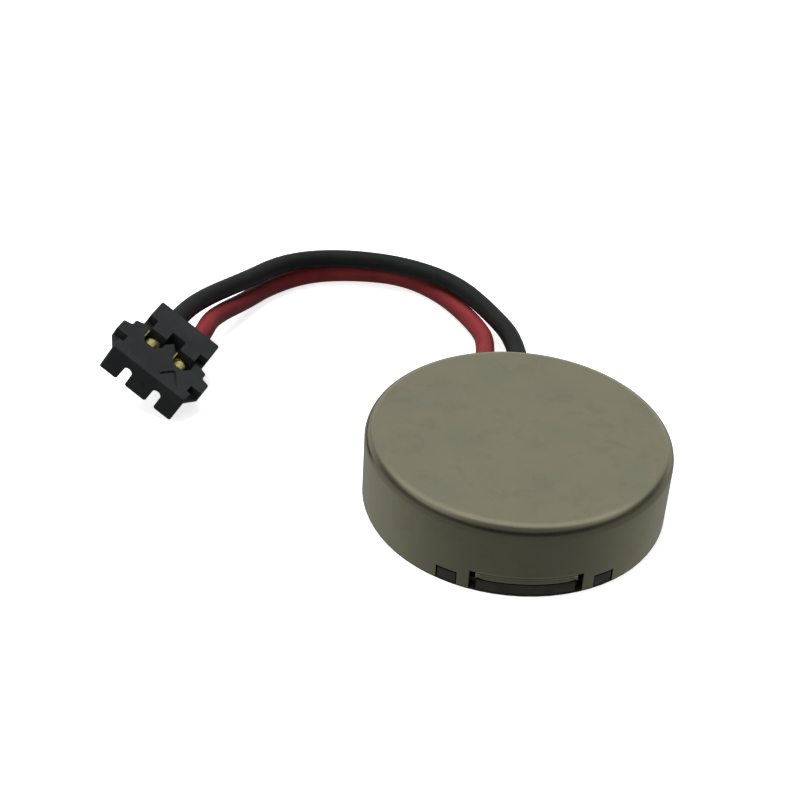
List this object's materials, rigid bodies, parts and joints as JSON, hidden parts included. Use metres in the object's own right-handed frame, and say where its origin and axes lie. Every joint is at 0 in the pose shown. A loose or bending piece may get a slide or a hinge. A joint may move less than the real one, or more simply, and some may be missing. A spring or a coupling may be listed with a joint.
{
  "type": "vibration coin motor",
  "caption": "Flat coin-shaped eccentric-rotor vibration motor in a drawn steel can, with red and black leads and a black two-way plug.",
  "frame": {"origin": "centre of the underside, on the face of the adhesive film", "axes": "+Z along the shaft towards the closed face of the can, +Y towards the lead exit"},
  "size_m": [0.0192, 0.0191, 0.0029],
  "materials": {
    "case_steel": "plain satin nickel-plated steel, faintly mottled",
    "plate_steel": "dull dark plated steel",
    "adhesive": "thin dark acrylic adhesive film",
    "polyimide": "amber polyimide film",
    "gold_plate": "gold flash over copper",
    "magnet": "nickel-plated sintered magnet",
    "shaft_steel": "ground steel",
    "washer_plastic": "natural plastic film",
    "brush_metal": "bright copper alloy leaf",
    "solder": "bright solder",
    "glue": "clear cured glue",
    "red_insulation": "satin red insulation",
    "black_insulation": "satin black insulation",
    "tinned_copper": "tinned copper strands",
    "plug_plastic": "black moulded nylon",
    "board_laminate": "green glass-epoxy board",
    "enamelled_copper": "enamelled copper wire",
    "tungsten": "sintered heavy alloy",
    "rotor_resin": "black moulded resin",
    "bush_brass": "oil-filled sintered bronze"
  },
  "bodies": {
    "root": {"case_can": "case_steel", "base_plate": "plate_steel", "adhesive_pad": "adhesive", "flex_circuit": "polyimide", "solder_pads": "gold_plate", "ring_magnet": "magnet", "shaft": "shaft_steel", "thrust_washer_lower": "washer_plastic", "thrust_washer_upper": "washer_plastic", "brush_positive": "brush_metal", "brush_negative": "brush_metal", "lead_solder_joints": "solder", "strain_relief_glue": "glue", "red_lead": "red_insulation", "black_lead": "black_insulation", "red_lead_conductor": "tinned_copper", "black_lead_conductor": "tinned_copper", "plug_housing": "plug_plastic", "contact_positive": "gold_plate", "contact_negative": "gold_plate"},
    "rotor": {"rotor_board": "board_laminate", "commutator_segments": "gold_plate", "coil_left": "enamelled_copper", "coil_right": "enamelled_copper", "counterweight": "tungsten", "rotor_body": "rotor_resin", "bearing_bush": "bush_brass"}
  },
  "joints": [
    {"name": "rotor_spin", "type": "hinge", "parent": "root", "child": "rotor", "pos_m": [0, 0, 0.0017], "axis": [0, 0, 1], "continuous": true}
  ]
}
